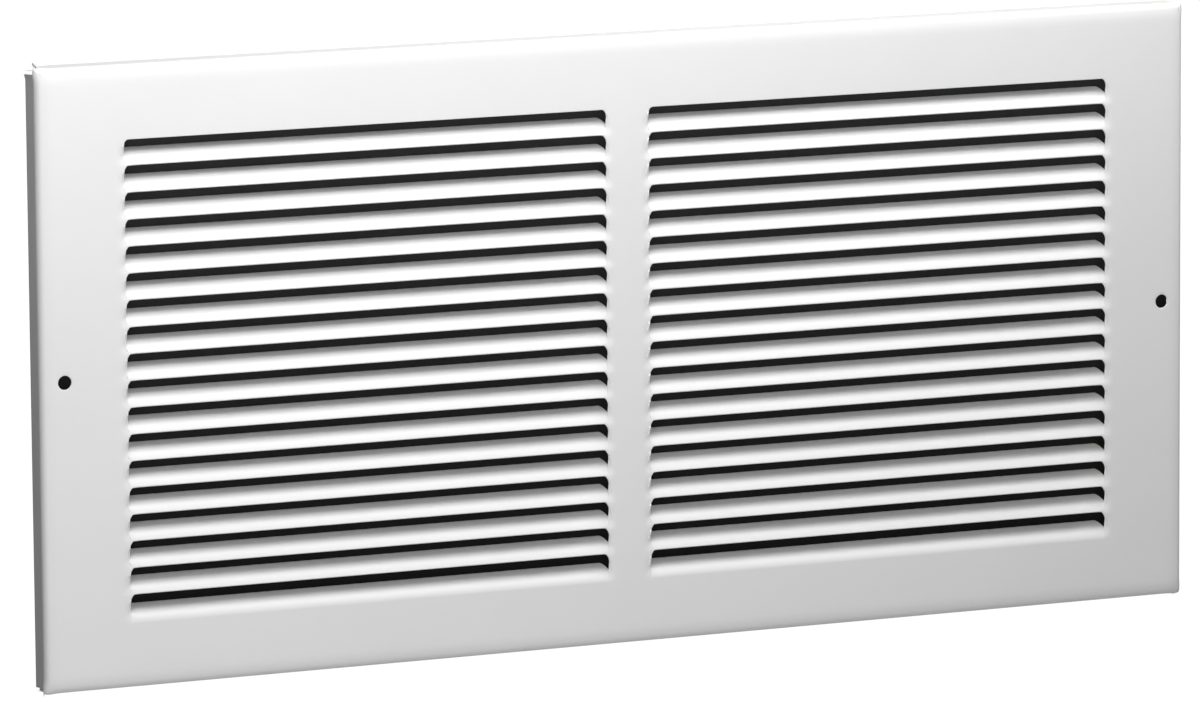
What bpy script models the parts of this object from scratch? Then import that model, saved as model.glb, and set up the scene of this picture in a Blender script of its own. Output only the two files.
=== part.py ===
"""Stamped steel return-air grille: a louvred faceplate, with its two screws taped inside the rim.

X runs across the grille, Z is up and +Y points into the wall. The folded rim touches the wall at
Y = 0, and the face stands DEPTH in front of it.
"""

from math import acos, atan2, cos, hypot, pi, radians, sin

import bmesh
import bpy
from mathutils import Matrix, Vector

MM = 0.001

# Faceplate outline and sheet.
WIDTH = 400.05 * MM
HEIGHT = 196.85 * MM
DEPTH = 9.525 * MM
SHEET = 0.66 * MM
BEND_RADIUS = 2.4 * MM
BEND_SEGMENTS = 3

# Louvre field: two columns of strips, each strip one pitch high in the flat sheet.
PITCH = 8.467 * MM
STRIP_COUNT = 18
FIRST_CUT = 75.0 * MM
COLUMN_INNER = 7.9 * MM
COLUMN_OUTER = 170.8 * MM

# A formed strip leans back from its lower edge: its tilt from the vertical grows along the strip.
FIN_TILT_FRONT = radians(23)
FIN_TILT_BACK = radians(83)
FIN_LIFT = 0.45 * MM
LIP_DROP = 0.5 * MM
LIP_RADIUS = 3.0 * MM
LIP_TILT = radians(30)

# Ends of a strip: a cut down its upper part frees a tab, and the rest runs into the border.
END_CUT = 5.1 * MM
END_RUN = 4.0 * MM
END_SLANT = 1.2 * MM
TAB_INSET = 0.4 * MM
TAB_RELEASE = 1.6

# Screw holes in the side borders.
HOLE_SPACING = 384.2 * MM
HOLE_DIAMETER = 4.5 * MM
HOLE_SIDES = 24
CUTTER_DEPTH = 4 * SHEET

# Mounting screws and the tape that stows them inside the rim.
GAP = 0.3 * MM
SCREW_LENGTH = 25.4 * MM
SCREW_SHANK_RADIUS = 1.75 * MM
SCREW_HEAD_RADIUS = 3.45 * MM
SCREW_DOME = 1.1 * MM
SCREW_DOME_STEPS = 3
SCREW_SINK = 1.9 * MM
SCREW_POINT = 3.2 * MM
SCREW_SIDES = 20
STOW_X = 185.5 * MM
STOW_Z = -46.0 * MM
TAPE_WIDTH = 19.0 * MM
TAPE_REACH = 11.0 * MM
TAPE_FOOT = 5.2 * MM
TAPE_THICKNESS = 0.2 * MM
TAPE_ARC_STEPS = 8

NEAR = 0.001 * MM
SHARP_ANGLE = radians(35)


def material(name, colour, roughness, metallic=0.0):
    """A Principled material."""
    made = bpy.data.materials.new(name)
    made.use_nodes = True
    shader = made.node_tree.nodes["Principled BSDF"]
    shader.inputs["Base Color"].default_value = (*colour, 1.0)
    shader.inputs["Roughness"].default_value = roughness
    shader.inputs["Metallic"].default_value = metallic
    return made


def add_object(name, bm, surface):
    """Turns a bmesh into a named object of the scene."""
    mesh = bpy.data.meshes.new(name)
    bm.to_mesh(mesh)
    bm.free()
    mesh.materials.append(surface)
    made = bpy.data.objects.new(name, mesh)
    bpy.context.scene.collection.objects.link(made)
    return made


def cut_height(index):
    """Height of the cut above strip number index, counted from 0 at the top."""
    return FIRST_CUT - index * PITCH


def strip_length(index):
    """Length of a strip in the flat sheet; the last one also takes up the roll of the lip."""
    return PITCH + (LIP_DROP if index == STRIP_COUNT - 1 else 0.0)


def arc(start, end, length):
    """Depth and rise of an arc whose tilt turns from start to end over length."""
    turn = (end - start) / length
    return (cos(start) - cos(end)) / turn, (sin(end) - sin(start)) / turn


def fin_profile(t, length):
    """Depth and rise at distance t up a fin from its lower edge."""
    if t < NEAR:
        return 0.0, 0.0
    tilt = FIN_TILT_FRONT + (FIN_TILT_BACK - FIN_TILT_FRONT) * t / length
    return arc(FIN_TILT_FRONT, tilt, t)


def lip_profile(t, length):
    """Depth and rise at distance t up the last strip, which rolls out of the flat face."""
    if t < NEAR:
        return 0.0, 0.0
    roll = LIP_RADIUS * LIP_TILT
    if t <= roll:
        return arc(0.0, t / LIP_RADIUS, t)
    depth, rise = arc(0.0, LIP_TILT, roll)
    tilt = LIP_TILT + (FIN_TILT_BACK - LIP_TILT) * (t - roll) / (length - roll)
    more_depth, more_rise = arc(LIP_TILT, tilt, t - roll)
    return depth + more_depth, rise + more_rise


def smooth(value):
    """Eases from 0 to 1."""
    value = min(max(value, 0.0), 1.0)
    return value * value * (3.0 - 2.0 * value)


def in_field(point):
    """Whether a point of the flat face lies in one of the two louvre columns."""
    bottom = cut_height(STRIP_COUNT) - LIP_DROP
    in_column = COLUMN_INNER < abs(point.x) < COLUMN_OUTER
    return point.y < -DEPTH + NEAR and in_column and bottom < point.z < FIRST_CUT


def on_face(point):
    """Whether a point lies on the flat face."""
    return point.y < -DEPTH + NEAR


def slice_faces(bm, chosen, place, direction):
    """Cuts the chosen faces along a plane."""
    faces = [face for face in bm.faces if chosen(face.calc_center_median())]
    edges = {edge for face in faces for edge in face.edges}
    verts = {vert for face in faces for vert in face.verts}
    bmesh.ops.bisect_plane(
        bm, geom=faces + list(edges) + list(verts), dist=NEAR, plane_co=place, plane_no=direction
    )


def folded_tray(bm):
    """The sheet folded back on its four sides, with rounded bends and open corners."""
    bmesh.ops.create_cube(bm, size=1.0)
    bmesh.ops.scale(bm, vec=(WIDTH, DEPTH, HEIGHT), verts=bm.verts)
    bmesh.ops.translate(bm, vec=(0.0, -DEPTH / 2, 0.0), verts=bm.verts)
    back = [face for face in bm.faces if face.calc_center_median().y > -NEAR]
    bmesh.ops.delete(bm, geom=back, context="FACES")
    folds = [edge for edge in bm.edges if not edge.is_boundary]
    bmesh.ops.bevel(
        bm,
        geom=folds,
        offset=BEND_RADIUS,
        segments=BEND_SEGMENTS,
        profile=0.5,
        affect="EDGES",
        material=-1,
    )
    corners = []
    for face in bm.faces:
        middle = face.calc_center_median()
        past_side = abs(middle.x) > WIDTH / 2 - BEND_RADIUS
        past_end = abs(middle.z) > HEIGHT / 2 - BEND_RADIUS
        if past_side and past_end and middle.y > -DEPTH + BEND_RADIUS:
            corners.append(face)
    bmesh.ops.delete(bm, geom=corners, context="FACES")


def score_strips(bm):
    """Draws the lines of the louvre strips on the flat face."""
    across = Vector((1.0, 0.0, 0.0))
    up = Vector((0.0, 0.0, 1.0))
    bottom = cut_height(STRIP_COUNT) - LIP_DROP
    for side in (-1, 1):
        for x in (COLUMN_INNER, COLUMN_OUTER):
            slice_faces(bm, on_face, Vector((side * x, 0.0, 0.0)), across)

    def in_column(point):
        return on_face(point) and COLUMN_INNER < abs(point.x) < COLUMN_OUTER

    for z in (FIRST_CUT, bottom):
        slice_faces(bm, in_column, Vector((0.0, 0.0, z)), up)
    for index in range(1, STRIP_COUNT):
        slice_faces(bm, in_field, Vector((0.0, 0.0, cut_height(index))), up)
    for side in (-1, 1):
        for run in (END_RUN / 2, END_RUN):
            for x in (COLUMN_INNER + run, COLUMN_OUTER - run):
                slice_faces(bm, in_field, Vector((side * x, 0.0, 0.0)), across)
    for index in range(STRIP_COUNT):
        rest = strip_length(index) - END_CUT
        for step in (END_CUT / 2, END_CUT, END_CUT + rest / 3, END_CUT + rest * 2 / 3):
            place = Vector((0.0, 0.0, cut_height(index) - step))
            slice_faces(bm, in_field, place, up)


def strip_of(face):
    """Number of the strip that a face of the field belongs to."""
    middle = face.calc_center_median()
    return min(int((FIRST_CUT - middle.z) / PITCH), STRIP_COUNT - 1)


def lance(bm):
    """Opens the cuts: one along the top of each strip, and one down each end."""
    cuts = []
    for edge in bm.edges:
        middle = (edge.verts[0].co + edge.verts[1].co) / 2
        if not on_face(middle) or abs(middle.x) > COLUMN_OUTER + NEAR or edge.is_boundary:
            continue
        below = (FIRST_CUT - middle.z) / PITCH
        along_top = abs(below - round(below)) * PITCH < NEAR and round(below) in range(STRIP_COUNT)
        level = abs(edge.verts[0].co.z - edge.verts[1].co.z) < NEAR
        if level and along_top and abs(middle.x) > COLUMN_INNER:
            cuts.append(edge)
        at_end = min(abs(abs(middle.x) - COLUMN_INNER), abs(abs(middle.x) - COLUMN_OUTER)) < NEAR
        if at_end and 0.0 < below < STRIP_COUNT and (below % 1.0) * PITCH < END_CUT:
            cuts.append(edge)
    bmesh.ops.split_edges(bm, edges=cuts)


def form(bm):
    """Presses each strip back into a louvre."""
    strips = [[] for _ in range(STRIP_COUNT)]
    pressed = set()
    for face in bm.faces:
        if in_field(face.calc_center_median()):
            strips[strip_of(face)].extend(vert for vert in face.verts if vert not in pressed)
            pressed.update(face.verts)
    beside = [vert for vert in bm.verts if vert not in pressed and on_face(vert.co)]
    for index, verts in enumerate(strips):
        for vert in set(verts):
            press_vert(vert, index)
    for vert in beside:
        flare_border(vert)


def inward_of(x):
    """Distance from the nearer end of the column, and the direction towards the column's middle."""
    from_inner = abs(x) - COLUMN_INNER
    from_outer = COLUMN_OUTER - abs(x)
    side = 1.0 if x > 0 else -1.0
    return (from_inner, side) if from_inner < from_outer else (from_outer, -side)


def press_vert(vert, index):
    """Moves one point of a strip from the flat sheet to its formed place."""
    length = strip_length(index)
    down = cut_height(index) - vert.co.z
    t = length - down
    inward, direction = inward_of(vert.co.x)
    near_end = max(0.0, 1.0 - inward / END_RUN)
    if down < END_CUT:
        shift = TAB_INSET - (TAB_INSET + END_SLANT) * down / END_CUT
    else:
        shift = -END_SLANT * t / (length - END_CUT)
    freed = max(0.0, END_CUT - down)
    share = smooth((inward + TAB_RELEASE * freed) / END_RUN)
    is_lip = index == STRIP_COUNT - 1
    depth, rise = (lip_profile if is_lip else fin_profile)(t, length)
    lift = 0.0 if is_lip else FIN_LIFT
    formed_z = cut_height(index) - length + lift + rise
    vert.co.x += direction * shift * near_end
    vert.co.y = -DEPTH + depth * share
    vert.co.z += (formed_z - vert.co.z) * share


def flare_border(vert):
    """Slants the border's edge outwards beside the freed part of each strip."""
    inward, direction = inward_of(vert.co.x)
    below = (FIRST_CUT - vert.co.z) / PITCH
    down = (below % 1.0) * PITCH
    if abs(inward) < NEAR and NEAR / PITCH < below < STRIP_COUNT and down < END_CUT:
        vert.co.x -= direction * END_SLANT * down / END_CUT


def faceplate(surface):
    """The one-piece stamped faceplate with its 36 slots."""
    bm = bmesh.new()
    folded_tray(bm)
    score_strips(bm)
    lance(bm)
    form(bm)
    plate = add_object("faceplate", bm, surface)
    wall = plate.modifiers.new("sheet", "SOLIDIFY")
    wall.thickness = SHEET
    wall.offset = -1.0
    for side, name in ((-1, "left_hole_cutter"), (1, "right_hole_cutter")):
        drill = plate.modifiers.new(name, "BOOLEAN")
        drill.operation = "DIFFERENCE"
        drill.solver = "EXACT"
        drill.object = hole_cutter(name, side * HOLE_SPACING / 2)
    plate.data.shade_smooth()
    plate.data.set_sharp_from_angle(angle=SHARP_ANGLE)
    return plate


def hole_cutter(name, x):
    """A cylinder that punches one screw hole through the face."""
    bm = bmesh.new()
    bmesh.ops.create_cone(
        bm,
        cap_ends=True,
        segments=HOLE_SIDES,
        radius1=HOLE_DIAMETER / 2,
        radius2=HOLE_DIAMETER / 2,
        depth=CUTTER_DEPTH,
        matrix=Matrix.Rotation(pi / 2, 4, "X"),
    )
    mesh = bpy.data.meshes.new(name)
    bm.to_mesh(mesh)
    bm.free()
    cutter = bpy.data.objects.new(name, mesh)
    cutter.location = (x, -DEPTH + SHEET / 2, 0.0)
    cutter.display_type = "WIRE"
    cutter.hide_render = True
    bpy.context.scene.collection.objects.link(cutter)
    return cutter


def screw_axis_y():
    """Depth of the stowed screws' axis: the head rests on the back of the face."""
    return -DEPTH + SHEET + GAP + SCREW_HEAD_RADIUS


def screw_profile():
    """Radius and height of the points down one side of a screw, from the top of its head."""
    half = SCREW_LENGTH / 2
    ball = (SCREW_HEAD_RADIUS**2 + SCREW_DOME**2) / (2 * SCREW_DOME)
    head = []
    for step in range(SCREW_DOME_STEPS + 1):
        radius = SCREW_HEAD_RADIUS * step / SCREW_DOME_STEPS
        head.append((radius, half - ball + (ball**2 - radius**2) ** 0.5))
    shank = [
        (SCREW_SHANK_RADIUS, half - SCREW_DOME - SCREW_SINK),
        (SCREW_SHANK_RADIUS, SCREW_POINT - half),
        (0.0, -half),
    ]
    return head + shank


def mounting_screw(name, x, surface):
    """An oval-head screw lying on the back of a side border, head up."""
    profile = screw_profile()
    bm = bmesh.new()
    verts = [bm.verts.new((radius, 0.0, z)) for radius, z in profile]
    edges = [bm.edges.new(pair) for pair in zip(verts, verts[1:])]
    bmesh.ops.spin(
        bm,
        geom=verts + edges,
        cent=(0.0, 0.0, 0.0),
        axis=(0.0, 0.0, 1.0),
        angle=2 * pi,
        steps=SCREW_SIDES,
        use_merge=True,
    )
    bmesh.ops.remove_doubles(bm, verts=bm.verts, dist=NEAR)
    bmesh.ops.recalc_face_normals(bm, faces=bm.faces)
    screw = add_object(name, bm, surface)
    screw.location = (x, screw_axis_y(), STOW_Z)
    screw.data.shade_smooth()
    screw.data.set_sharp_from_angle(angle=SHARP_ANGLE)
    return screw


def tape_path():
    """Points of the tape's inner side, across the border and over the screw's shank."""
    floor = -DEPTH + SHEET + GAP
    axis_y = screw_axis_y()
    radius = SCREW_SHANK_RADIUS + GAP
    drop = axis_y - floor
    leaves = pi + atan2(drop, TAPE_FOOT) - acos(radius / hypot(TAPE_FOOT, drop))
    over = []
    for step in range(TAPE_ARC_STEPS + 1):
        angle = leaves + (pi - 2 * leaves) * step / TAPE_ARC_STEPS
        over.append((radius * cos(angle), axis_y + radius * sin(angle)))
    left = [(-TAPE_REACH, floor), (-TAPE_FOOT, floor)]
    right = [(TAPE_FOOT, floor), (TAPE_REACH, floor)]
    return left + over + right


def screw_tape(name, x, surface):
    """A strip of tape that holds one screw against the back of the face."""
    bm = bmesh.new()
    verts = [bm.verts.new((across, depth, 0.0)) for across, depth in tape_path()]
    edges = [bm.edges.new(pair) for pair in zip(verts, verts[1:])]
    made = bmesh.ops.extrude_edge_only(bm, edges=edges)
    raised = [item for item in made["geom"] if isinstance(item, bmesh.types.BMVert)]
    bmesh.ops.translate(bm, vec=(0.0, 0.0, TAPE_WIDTH), verts=raised)
    bmesh.ops.translate(bm, vec=(0.0, 0.0, -TAPE_WIDTH / 2), verts=bm.verts)
    bmesh.ops.recalc_face_normals(bm, faces=bm.faces)
    if sum(face.normal.y for face in bm.faces) < 0:
        bmesh.ops.reverse_faces(bm, faces=bm.faces)
    tape = add_object(name, bm, surface)
    tape.location = (x, 0.0, STOW_Z)
    layer = tape.modifiers.new("layer", "SOLIDIFY")
    layer.thickness = TAPE_THICKNESS
    layer.offset = 1.0
    tape.data.shade_smooth()
    return tape


def main():
    """Builds the grille in an empty scene."""
    for old in list(bpy.data.objects):
        bpy.data.objects.remove(old, do_unlink=True)
    faceplate(material("white_powder_coat", (0.85, 0.85, 0.84), 0.42))
    for side, where in ((-1, "left"), (1, "right")):
        painted = material(f"white_painted_screw_{where}", (0.82, 0.82, 0.8), 0.38, 0.2)
        paper = material(f"masking_tape_{where}", (0.78, 0.68, 0.45), 0.7)
        mounting_screw(f"mounting_screw_{where}", side * STOW_X, painted)
        screw_tape(f"screw_tape_{where}", side * STOW_X, paper)


main()
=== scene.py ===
"""Looks of a louvred return-air grille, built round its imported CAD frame.

The grille is one steel sheet. A press lances and pushes back its louvres, folds its rim and draws
its corners, and a white powder coat covers it. X runs across it, Z is up and +Y points into the
wall that its rim touches at Y = 0.
"""

import logging
from dataclasses import dataclass, field
from enum import Enum
from math import acos, asin, atan2, cos, exp, hypot, pi, radians, sin, sqrt, tan

import bmesh
import bpy
from mathutils import Matrix, Vector, noise


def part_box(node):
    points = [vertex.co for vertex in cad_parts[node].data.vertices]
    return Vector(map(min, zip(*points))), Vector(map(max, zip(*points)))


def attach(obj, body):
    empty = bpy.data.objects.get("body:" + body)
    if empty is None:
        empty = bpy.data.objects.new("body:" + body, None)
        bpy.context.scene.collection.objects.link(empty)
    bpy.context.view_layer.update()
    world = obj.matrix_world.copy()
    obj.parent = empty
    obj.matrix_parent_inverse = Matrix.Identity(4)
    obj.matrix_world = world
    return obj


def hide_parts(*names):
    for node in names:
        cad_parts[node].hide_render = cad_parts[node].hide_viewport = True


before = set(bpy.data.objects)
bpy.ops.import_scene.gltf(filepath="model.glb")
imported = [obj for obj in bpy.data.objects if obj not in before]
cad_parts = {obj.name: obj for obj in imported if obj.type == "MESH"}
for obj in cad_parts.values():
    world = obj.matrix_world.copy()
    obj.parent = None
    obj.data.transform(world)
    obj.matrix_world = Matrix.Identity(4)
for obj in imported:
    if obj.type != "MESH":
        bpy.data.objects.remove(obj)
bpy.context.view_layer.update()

MM = 0.001
NEAR = 1e-6
MIX_A, MIX_B, MIX_OUT = 6, 7, 2  # the colour sockets of a Mix node
LOG = logging.getLogger("grille")


class Side(Enum):
    """The two side borders, by the direction of X."""

    LEFT = -1
    RIGHT = 1


def linear(hex_colour: str) -> tuple[float, float, float, float]:
    """Turns an sRGB colour into the linear values that shaders take.

    Args:
        hex_colour: The colour as "#RRGGBB".

    Returns:
        Linear red, green and blue, and an alpha of 1.
    """
    values = []
    for start in (1, 3, 5):
        part = int(hex_colour[start : start + 2], 16) / 255
        values.append(part / 12.92 if part <= 0.04045 else ((part + 0.055) / 1.055) ** 2.4)
    return (values[0], values[1], values[2], 1.0)


def add_node(tree: bpy.types.NodeTree, kind: str, settings: dict, links: dict) -> bpy.types.Node:
    """Adds one node to a tree.

    Args:
        tree: The node tree.
        kind: The node's type name.
        settings: Values by input socket name or index, or by property name where no socket has it.
        links: The output socket that feeds each input socket, by the input's name or index.

    Returns:
        The new node.
    """
    node = tree.nodes.new(kind)
    for name, value in settings.items():
        if isinstance(name, int) or name in node.inputs:
            node.inputs[name].default_value = value
        else:
            setattr(node, name, value)
    for name, source in links.items():
        tree.links.new(source, node.inputs[name])
    return node


def new_material(name: str) -> tuple[bpy.types.Material, bpy.types.NodeTree]:
    """Makes an empty node material and returns it with its tree."""
    material = bpy.data.materials.new(name)
    material.use_nodes = True
    material.node_tree.nodes.clear()
    return material, material.node_tree


def ease(value: float) -> float:
    """Eases a value from 0 to 1 with level ends."""
    value = min(max(value, 0.0), 1.0)
    return value * value * (3.0 - 2.0 * value)


def add_object(name: str, bm: bmesh.types.BMesh, material: bpy.types.Material) -> bpy.types.Object:
    """Turns a bmesh into a smoothly shaded object of the scene.

    Args:
        name: The object's name.
        bm: The mesh, which is freed.
        material: The material of all its faces.

    Returns:
        The object, at the origin.
    """
    for face in bm.faces:
        face.smooth = True
    mesh = bpy.data.meshes.new(name)
    bm.to_mesh(mesh)
    bm.free()
    mesh.materials.append(material)
    made = bpy.data.objects.new(name, mesh)
    bpy.context.scene.collection.objects.link(made)
    return made


def face_along_y(bm: bmesh.types.BMesh, direction: int) -> None:
    """Turns a sheet's faces so that most of its area faces along +Y (1) or -Y (-1)."""
    bmesh.ops.recalc_face_normals(bm, faces=bm.faces)
    if direction * sum(face.normal.y * face.calc_area() for face in bm.faces) < 0:
        bmesh.ops.reverse_faces(bm, faces=bm.faces)


@dataclass(frozen=True)
class PowderCoat:
    """Satin polyester powder coat, sprayed dry and baked on steel.

    It flows into a faint orange peel about a millimetre across, and hides the metal completely.
    """

    name: str = "satin_white_powder_coat"
    colour: str = "#EDEDED"
    thin_colour: str = "#E9E9E9"
    roughness: float = 0.42
    peel_size: float = 1.3 * MM
    peel_height: float = 0.012 * MM
    cloud_size: float = 35.0 * MM

    def make(self) -> bpy.types.Material:
        """Builds the node material."""
        material, tree = new_material(self.name)
        place = add_node(tree, "ShaderNodeTexCoord", {}, {}).outputs["Object"]
        clouds = add_node(
            tree,
            "ShaderNodeTexNoise",
            {"Scale": 1.0 / self.cloud_size, "Detail": 3.0, "Roughness": 0.55},
            {"Vector": place},
        )
        tone = add_node(
            tree,
            "ShaderNodeMix",
            {"data_type": "RGBA", MIX_A: linear(self.thin_colour), MIX_B: linear(self.colour)},
            {"Factor": clouds.outputs["Fac"]},
        )
        peel = add_node(
            tree,
            "ShaderNodeTexNoise",
            {"Scale": 1.0 / self.peel_size, "Detail": 2.0, "Roughness": 0.4},
            {"Vector": place},
        )
        relief = add_node(
            tree,
            "ShaderNodeBump",
            {"Strength": 1.0, "Distance": self.peel_height},
            {"Height": peel.outputs["Fac"]},
        )
        shader = add_node(
            tree,
            "ShaderNodeBsdfPrincipled",
            {"Roughness": self.roughness},
            {"Base Color": tone.outputs[MIX_OUT], "Normal": relief.outputs["Normal"]},
        )
        add_node(tree, "ShaderNodeOutputMaterial", {}, {"Surface": shader.outputs["BSDF"]})
        return material


@dataclass
class Louvre:
    """How a strip of the sheet is cut free and leaned back into a louvre.

    A strip's lower edge stays in the sheet, and so do its ends below the end cuts. Each end of the
    free part is a tab. Ramps carry the strip's form out past the column's ends, further out at the
    strip's middle (nose) and less beside the cuts (edge_release).
    """

    pitch: float = 8.467 * MM
    tilt_front: float = radians(23)
    tilt_back: float = radians(83)
    lift: float = 0.45 * MM
    lip_drop: float = 0.5 * MM
    lip_radius: float = 3.0 * MM
    lip_tilt: float = radians(30)
    end_cut: float = 5.5 * MM
    end_slant: float = 1.6 * MM
    ramp_in: float = 3.6 * MM
    ramp_out: float = 2.9 * MM
    ramp_power: float = 0.7
    tab_inset: float = 0.1 * MM
    tab_round: float = 0.5 * MM
    tab_release: float = 2.6
    nose: float = 0.5 * MM
    edge_release: float = 1.2
    corner: float = 1.0 * MM

    def arc(self, start: float, end: float, length: float) -> tuple[float, float]:
        """Finds where an arc of the strip ends.

        Args:
            start: Tilt from the vertical where the arc starts.
            end: Tilt where it ends.
            length: Its length.

        Returns:
            The depth and the rise of its end.
        """
        turn = (end - start) / length
        return (cos(start) - cos(end)) / turn, (sin(end) - sin(start)) / turn

    def fin(self, t: float, length: float) -> tuple[float, float]:
        """Depth and rise of a fin at distance t up from its lower edge."""
        if t < NEAR:
            return 0.0, self.lift
        tilt = self.tilt_front + (self.tilt_back - self.tilt_front) * t / length
        depth, rise = self.arc(self.tilt_front, tilt, t)
        return depth, rise + self.lift

    def lip(self, t: float, length: float) -> tuple[float, float]:
        """Depth and rise of the last strip, which rolls out of the flat face."""
        if t < NEAR:
            return 0.0, 0.0
        roll = self.lip_radius * self.lip_tilt
        if t <= roll:
            return self.arc(0.0, t / self.lip_radius, t)
        depth, rise = self.arc(0.0, self.lip_tilt, roll)
        tilt = self.lip_tilt + (self.tilt_back - self.lip_tilt) * (t - roll) / (length - roll)
        more_depth, more_rise = self.arc(self.lip_tilt, tilt, t - roll)
        return depth + more_depth, rise + more_rise

    def ramp(self, inward: float) -> float:
        """Share of the full form at a distance inward from the column's end."""
        return ease((inward + self.ramp_out) / (self.ramp_in + self.ramp_out)) ** self.ramp_power

    def nose_reach(self, t: float, length: float) -> float:
        """How far past the column's end a strip bulges, at distance t up from its lower edge."""
        share = min(1.0, t / (length - self.end_cut))
        return self.nose * 4.0 * share * (1.0 - share)

    def slot_corner(self, inward: float, down: float) -> tuple[float, float]:
        """Finds the rounding of a slot's upper corner.

        Args:
            inward: Distance from the corner along the slot's upper edge, or 0 on its end.
            down: Distance from the corner along the slot's end, or 0 on its upper edge.

        Returns:
            How far the edge moves inward and how far it drops there.
        """
        angle = pi / 4 * (1.0 + (inward - down) / self.corner)
        return self.corner * (1.0 - cos(angle)) - inward, self.corner * (1.0 - sin(angle)) - down

    def tab_edge(self, down: float) -> float:
        """How far a tab's end is cut in from the column's end, at a distance below its top edge."""
        taper = self.tab_inset * (1.0 - down / self.end_cut)
        if down >= self.tab_round:
            return taper
        rest = self.tab_round - down
        return taper + self.tab_round - sqrt(self.tab_round**2 - rest**2)


@dataclass(frozen=True)
class RimEnd:
    """How the rim was left where its sides meet, at one corner."""

    side: Side
    end: int
    upright_taper: float
    upright_flare: float
    level_taper: float
    level_flare: float


@dataclass
class Faceplate:
    """The pressed faceplate: louvres, mullion, borders, bends, rim and drawn corners.

    The fields that end in rows or steps place the lines of its grid, in millimetres from the
    feature that they belong to. A dent is its X, its Z, its width, its height and its depth.
    """

    low: Vector
    high: Vector
    louvre: Louvre = field(default_factory=Louvre)
    sheet: float = 0.66 * MM
    strips: int = 18
    first_cut: float = 75.0 * MM
    column_inner: float = 7.9 * MM
    column_outer: float = 170.8 * MM
    bend_radius: float = 2.3 * MM
    bend_steps: int = 9
    rim_steps: int = 4
    crown_tilt: float = radians(13)
    crown_width: float = 4.2 * MM
    crown_power: float = 2.5
    hole_x: float = 192.1 * MM
    hole_radius: float = 2.25 * MM
    hole_block: float = 3.0 * MM
    hole_shares: tuple[float, ...] = (-1.0, -0.67, -0.33, 0.0, 0.33, 0.67, 1.0)
    hole_sides: int = 48
    flare_reach: float = 2.8 * MM
    dome_power: float = 4.5
    ear: float = 0.28 * MM
    ear_reach: float = 3.5 * MM
    edge_round: float = 0.12 * MM
    edge_angle: float = radians(50)
    dent_reach: float = 3.0
    strip_rows: tuple[float, ...] = (0.3, 0.6, 0.95, 1.5, 2.2, 3.0, 3.8)
    lower_rows: int = 4
    dents: tuple[tuple[float, float, float, float, float], ...] = (
        (-186.5 * MM, 94.0 * MM, 3.0 * MM, 1.3 * MM, 0.06 * MM),
    )
    rim_ends: tuple[RimEnd, ...] = (
        RimEnd(Side.LEFT, 1, 0.6 * MM, 0.5 * MM, 0.9 * MM, 1.2 * MM),
        RimEnd(Side.LEFT, -1, -0.7 * MM, 0.0, -0.7 * MM, 0.0),
        RimEnd(Side.RIGHT, 1, 0.4 * MM, 0.15 * MM, 0.4 * MM, 0.15 * MM),
        RimEnd(Side.RIGHT, -1, -0.3 * MM, 0.1 * MM, -0.3 * MM, 0.1 * MM),
    )
    end_steps: tuple[float, ...] = (0.3, 0.6, 0.95, 1.4, 2.0, 2.8, 3.7, 4.8)
    middle_shares: tuple[float, ...] = (0.25, 0.5, 0.75)
    out_steps: tuple[float, ...] = (0.4, 0.8, 1.2, 1.7, 2.3, 3.0, 3.8)
    crown_steps: tuple[float, ...] = (0.0, 0.3, 0.6, 1.0, 1.5, 2.0, 2.6, 3.3, 4.2)
    border_steps: tuple[float, ...] = (0.3, 3.0, 6.0, 9.0, 12.0, 14.5, 16.5, 18.0)
    side_steps: tuple[float, ...] = (6.0, 9.5, 12.5, 14.3, 15.7, 17.1)
    closest: float = 0.1 * MM

    def __post_init__(self) -> None:
        """Works out the places that follow from the frame's box."""
        self.half_width = (self.high.x - self.low.x) / 2
        self.half_height = (self.high.z - self.low.z) / 2
        self.depth = self.high.y - self.low.y
        set_back = self.bend_radius * (1.0 - sin(self.crown_tilt))
        self.flat_x = self.half_width - set_back
        self.flat_z = self.half_height - set_back
        self.crown_drop = tan(self.crown_tilt) * self.crown_width / self.crown_power
        self.bend_y = -self.depth + self.crown_drop + self.bend_radius * cos(self.crown_tilt)

    def cut_height(self, index: int) -> float:
        """Height of the cut above a strip."""
        return self.first_cut - index * self.louvre.pitch

    def strip_length(self, index: int) -> float:
        """Length of a strip in the flat sheet."""
        return self.louvre.pitch + (self.louvre.lip_drop if index == self.strips - 1 else 0.0)

    def across_stations(self) -> list[float]:
        """Places of the grid lines from the middle of the mullion to the side bend."""
        inner, outer = self.column_inner, self.column_outer
        stations = [0.0]
        stations += [inner - step * MM for step in reversed(self.out_steps)]
        stations.append(inner)
        stations += [inner + step * MM for step in self.end_steps]
        stations += [inner + (outer - inner) * share for share in self.middle_shares]
        stations += [outer - step * MM for step in reversed(self.end_steps)]
        stations.append(outer)
        stations += [outer + step * MM for step in (*self.out_steps, *self.side_steps)]
        stations += [self.hole_x + share * self.hole_block for share in self.hole_shares]
        crown = [self.flat_x - step * MM for step in reversed(self.crown_steps)]
        stations += [x for x in crown if x > stations[-1] + self.closest]
        return stations + self.folded_stations(self.flat_x)

    def bend_length(self) -> float:
        """Length of a bend, measured in the sheet."""
        return (pi / 2 - self.crown_tilt) * self.bend_radius

    def folded_stations(self, flat: float) -> list[float]:
        """Places of the grid lines past where a bend starts, out to the rim."""
        bend = self.bend_length()
        steps = range(1, self.bend_steps + 1)
        stations = [flat + bend * step / self.bend_steps for step in steps]
        steps = range(1, self.rim_steps + 1)
        return stations + [flat + bend - self.bend_y * step / self.rim_steps for step in steps]

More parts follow.
